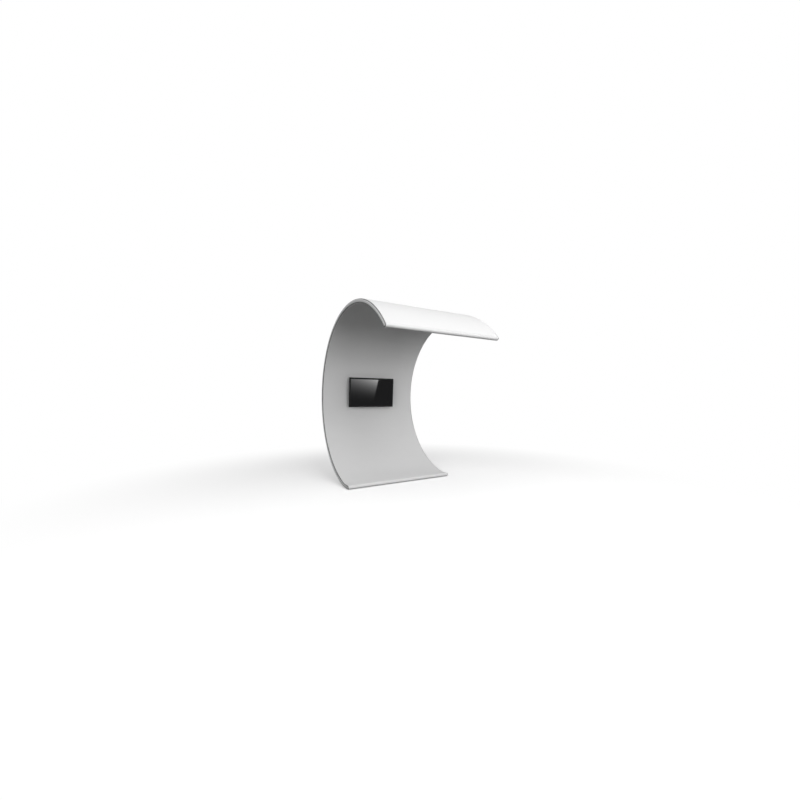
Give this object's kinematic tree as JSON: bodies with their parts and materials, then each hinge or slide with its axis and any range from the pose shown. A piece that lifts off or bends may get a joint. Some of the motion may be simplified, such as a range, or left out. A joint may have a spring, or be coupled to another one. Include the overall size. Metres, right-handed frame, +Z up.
{
  "type": "tension fabric display wall",
  "caption": "Curved C-shaped fabric wall with a canopy lip on a sectional tube frame, zipped cover, foot bars, and a screen on a tilting bracket.",
  "frame": {"origin": "on the floor, under the centre of the bounding box", "axes": "+X across the width, +Y from the visitor to the back of the wall, +Z up"},
  "size_m": [1.575, 2.108, 2.3388],
  "materials": {
    "cloth": "pale grey-white stretch polyester",
    "tube": "mill-finish aluminium tube",
    "casting": "cast aluminium",
    "bright_steel": "bright zinc",
    "powder_coat": "black powder coat",
    "pad_rubber": "moulded rubber",
    "knob_plastic": "black moulded",
    "zip_tape": "woven tape with moulded teeth",
    "screen_plastic": "black moulded",
    "screen_glass": "dark glossy panel"
  },
  "bodies": {
    "wall": {"fabric_front_panel": "cloth", "fabric_back_panel": "cloth", "fabric_gusset_left": "cloth", "fabric_gusset_right": "cloth", "riser_patch_left": "cloth", "riser_patch_right": "cloth", "hoop_base_left": "tube", "hoop_base_right": "tube", "hoop_lower_left": "tube", "hoop_lower_right": "tube", "hoop_upper_left": "tube", "hoop_upper_right": "tube", "hoop_canopy_left": "tube", "hoop_canopy_right": "tube", "spreader_nose": "tube", "spreader_lower": "tube", "spreader_upper": "tube", "spreader_lip": "tube", "screen_rail_lower": "tube", "screen_rail_upper": "tube", "corner_nose_left": "casting", "corner_nose_right": "casting", "corner_lip_left": "casting", "corner_lip_right": "casting", "foot_bar_left": "powder_coat", "foot_bar_right": "powder_coat", "foot_riser_left": "powder_coat", "foot_riser_right": "powder_coat", "mount_backing_plate": "powder_coat", "mount_front_plate": "powder_coat", "rail_clamp_lower": "powder_coat", "rail_clamp_upper": "powder_coat", "foot_pad_front_left": "pad_rubber", "foot_pad_front_right": "pad_rubber", "foot_pad_rear_left": "pad_rubber", "foot_pad_rear_right": "pad_rubber", "zip_tape_lower": "zip_tape", "zip_tape_upper": "zip_tape"},
    "screen": {"screen_bezel": "screen_plastic", "screen_panel": "screen_glass", "screen_rear_cover": "screen_plastic", "screen_power_inlet": "screen_plastic", "mount_arm_left": "powder_coat", "mount_arm_right": "powder_coat"},
    "screen_power_button": {"screen_power_button": "screen_plastic"},
    "zip_slider": {"zip_slider": "bright_steel"},
    "zip_pull": {"zip_pull": "bright_steel"},
    "tilt_knob_left": {"tilt_knob_left": "knob_plastic"},
    "riser_knob_left": {"riser_knob_left": "knob_plastic"},
    "snap_button_low_left": {"snap_button_low_left": "bright_steel"},
    "snap_button_middle_left": {"snap_button_middle_left": "bright_steel"},
    "snap_button_high_left": {"snap_button_high_left": "bright_steel"},
    "tilt_knob_right": {"tilt_knob_right": "knob_plastic"},
    "riser_knob_right": {"riser_knob_right": "knob_plastic"},
    "snap_button_low_right": {"snap_button_low_right": "bright_steel"},
    "snap_button_middle_right": {"snap_button_middle_right": "bright_steel"},
    "snap_button_high_right": {"snap_button_high_right": "bright_steel"}
  },
  "joints": [
    {"name": "screen_tilt", "type": "hinge", "parent": "wall", "child": "screen", "pos_m": [0, 0.97269, 1.25034], "axis": [1, 0, 0], "range_deg": [-5.5, 8]},
    {"name": "screen_power_button_press", "type": "slide", "parent": "screen", "child": "screen_power_button", "axis": [0, -0.9981, -0.061], "range_m": [0, 0.001], "stiffness_N_per_m": 800, "springref_m": -0.0005},
    {"name": "tilt_knob_left_turn", "type": "hinge", "parent": "wall", "child": "tilt_knob_left", "pos_m": [-0.1214, 0.97269, 1.25034], "axis": [-1, 0, 0], "range_deg": [0, 360]},
    {"name": "tilt_knob_right_turn", "type": "hinge", "parent": "wall", "child": "tilt_knob_right", "pos_m": [0.1214, 0.97269, 1.25034], "axis": [1, 0, 0], "range_deg": [0, 360]},
    {"name": "riser_knob_left_turn", "type": "hinge", "parent": "wall", "child": "riser_knob_left", "pos_m": [-0.5075, 0.43994, 0.15598], "axis": [0, -0.8547, -0.5191], "range_deg": [0, 540]},
    {"name": "riser_knob_right_turn", "type": "hinge", "parent": "wall", "child": "riser_knob_right", "pos_m": [0.5075, 0.43994, 0.15598], "axis": [0, -0.8547, -0.5191], "range_deg": [0, 540]},
    {"name": "snap_button_low_left_press", "type": "slide", "parent": "wall", "child": "snap_button_low_left", "axis": [-1, 0, 0], "range_m": [0, 0.0055], "stiffness_N_per_m": 1800, "springref_m": -0.002},
    {"name": "snap_button_low_right_press", "type": "slide", "parent": "wall", "child": "snap_button_low_right", "axis": [1, 0, 0], "range_m": [0, 0.0055], "stiffness_N_per_m": 1800, "springref_m": -0.002},
    {"name": "snap_button_middle_left_press", "type": "slide", "parent": "wall", "child": "snap_button_middle_left", "axis": [-1, 0, 0], "range_m": [0, 0.0055], "stiffness_N_per_m": 1800, "springref_m": -0.002},
    {"name": "snap_button_middle_right_press", "type": "slide", "parent": "wall", "child": "snap_button_middle_right", "axis": [1, 0, 0], "range_m": [0, 0.0055], "stiffness_N_per_m": 1800, "springref_m": -0.002},
    {"name": "snap_button_high_left_press", "type": "slide", "parent": "wall", "child": "snap_button_high_left", "axis": [-1, 0, 0], "range_m": [0, 0.0055], "stiffness_N_per_m": 1800, "springref_m": -0.002},
    {"name": "snap_button_high_right_press", "type": "slide", "parent": "wall", "child": "snap_button_high_right", "axis": [1, 0, 0], "range_m": [0, 0.0055], "stiffness_N_per_m": 1800, "springref_m": -0.002},
    {"name": "zip_slide", "type": "slide", "parent": "wall", "child": "zip_slider", "axis": [-1, 0, 0], "range_m": [0, 1.438]},
    {"name": "zip_pull_swing", "type": "hinge", "parent": "zip_slider", "child": "zip_pull", "pos_m": [0.7192, 0.36579, 0.08007], "axis": [1, 0, 0], "range_deg": [-50, 90]}
  ]
}
